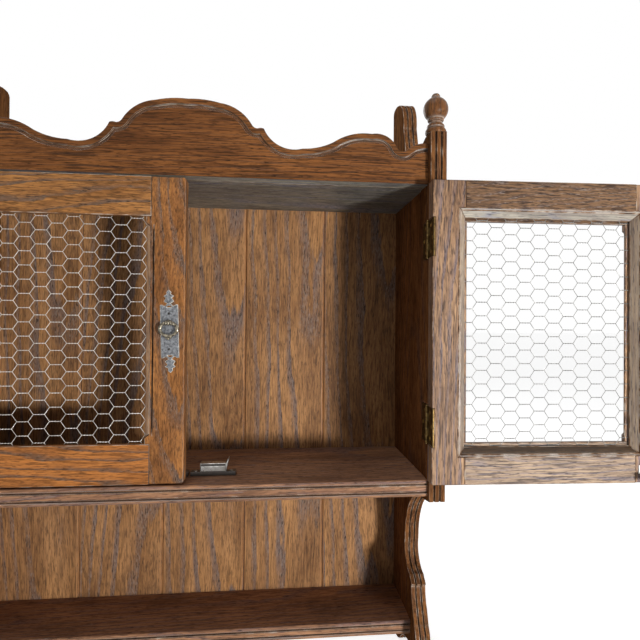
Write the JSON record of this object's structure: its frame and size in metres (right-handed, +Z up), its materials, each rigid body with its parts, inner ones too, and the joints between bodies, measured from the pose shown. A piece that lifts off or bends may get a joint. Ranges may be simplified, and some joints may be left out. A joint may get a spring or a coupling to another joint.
{
  "type": "wall curio cabinet",
  "caption": "Wall cabinet in dark oak with a scrolled crest and ball finials, paired wire-net doors with ring pulls on brass hinges, and an open shelf between scrolled brackets below.",
  "frame": {"origin": "on the wall plane, midway between the two holes that the cabinet hangs by", "axes": "+X to the right as seen from the front, +Y into the wall, +Z up"},
  "size_m": [0.9812, 0.2519, 0.8912],
  "materials": {
    "oak": "dark stained oak with open grain, satin",
    "plank_oak": "dark stained oak with open grain, satin",
    "bead_oak": "stained oak, glossier than the frame",
    "galvanised_wire": "dull galvanised",
    "hinge_brass": "aged",
    "screw_brass": "aged",
    "handle_iron": "grey, worn",
    "ring_metal": "aged, rubbed bright",
    "catch_body": "dark brown",
    "catch_steel": "plain",
    "screw_steel": "plain",
    "hanger_steel": "dark"
  },
  "bodies": {
    "case": {"back_plank_1": "plank_oak", "back_plank_2": "plank_oak", "back_plank_3": "plank_oak", "back_plank_4": "plank_oak", "back_plank_5": "plank_oak", "case_leaves_left": "hinge_brass", "case_leaves_right": "hinge_brass", "catch_left": "catch_body", "catch_plates": "catch_steel", "catch_right": "catch_body", "crest_board": "oak", "finial_left": "oak", "finial_right": "oak", "hanger_plates": "hanger_steel", "hinge_pins_left": "hinge_brass", "hinge_pins_right": "hinge_brass", "lower_shelf": "oak", "side_panel_left": "oak", "side_panel_right": "oak", "top_board": "oak", "waist_board": "oak"},
    "left_door": {"left_bottom_bead": "bead_oak", "left_bottom_rail": "oak", "left_handle_plate": "handle_iron", "left_hinge_bead": "bead_oak", "left_hinge_leaves": "hinge_brass", "left_hinge_stile": "oak", "left_meeting_bead": "bead_oak", "left_meeting_stile": "oak", "left_ring_post": "handle_iron", "left_strike_plate": "catch_steel", "left_top_bead": "bead_oak", "left_top_rail": "oak", "left_wire_net": "galvanised_wire"},
    "right_door": {"right_bottom_bead": "bead_oak", "right_bottom_rail": "oak", "right_handle_plate": "handle_iron", "right_hinge_bead": "bead_oak", "right_hinge_leaves": "hinge_brass", "right_hinge_stile": "oak", "right_meeting_bead": "bead_oak", "right_meeting_stile": "oak", "right_ring_post": "handle_iron", "right_strike_plate": "catch_steel", "right_top_bead": "bead_oak", "right_top_rail": "oak", "right_wire_net": "galvanised_wire"},
    "left_ring": {"left_ring_pull": "ring_metal"},
    "right_ring": {"right_ring_pull": "ring_metal"}
  },
  "joints": [
    {"name": "left_door_hinge", "type": "hinge", "parent": "case", "child": "left_door", "pos_m": [-0.3174, -0.202, -0.31075], "axis": [0, 0, -1], "range_deg": [0, 178]},
    {"name": "right_door_hinge", "type": "hinge", "parent": "case", "child": "right_door", "pos_m": [0.3174, -0.202, -0.31075], "axis": [0, 0, 1], "range_deg": [-178, 0]},
    {"name": "left_ring_swing", "type": "hinge", "parent": "left_door", "child": "left_ring", "pos_m": [-0.0199, -0.2048, -0.30095], "axis": [-1, 0, 0], "range_deg": [0, 150]},
    {"name": "right_ring_swing", "type": "hinge", "parent": "right_door", "child": "right_ring", "pos_m": [0.61482, -0.20958, -0.30095], "axis": [0.9994, -0.0349, 0], "range_deg": [0, 150]}
  ]
}
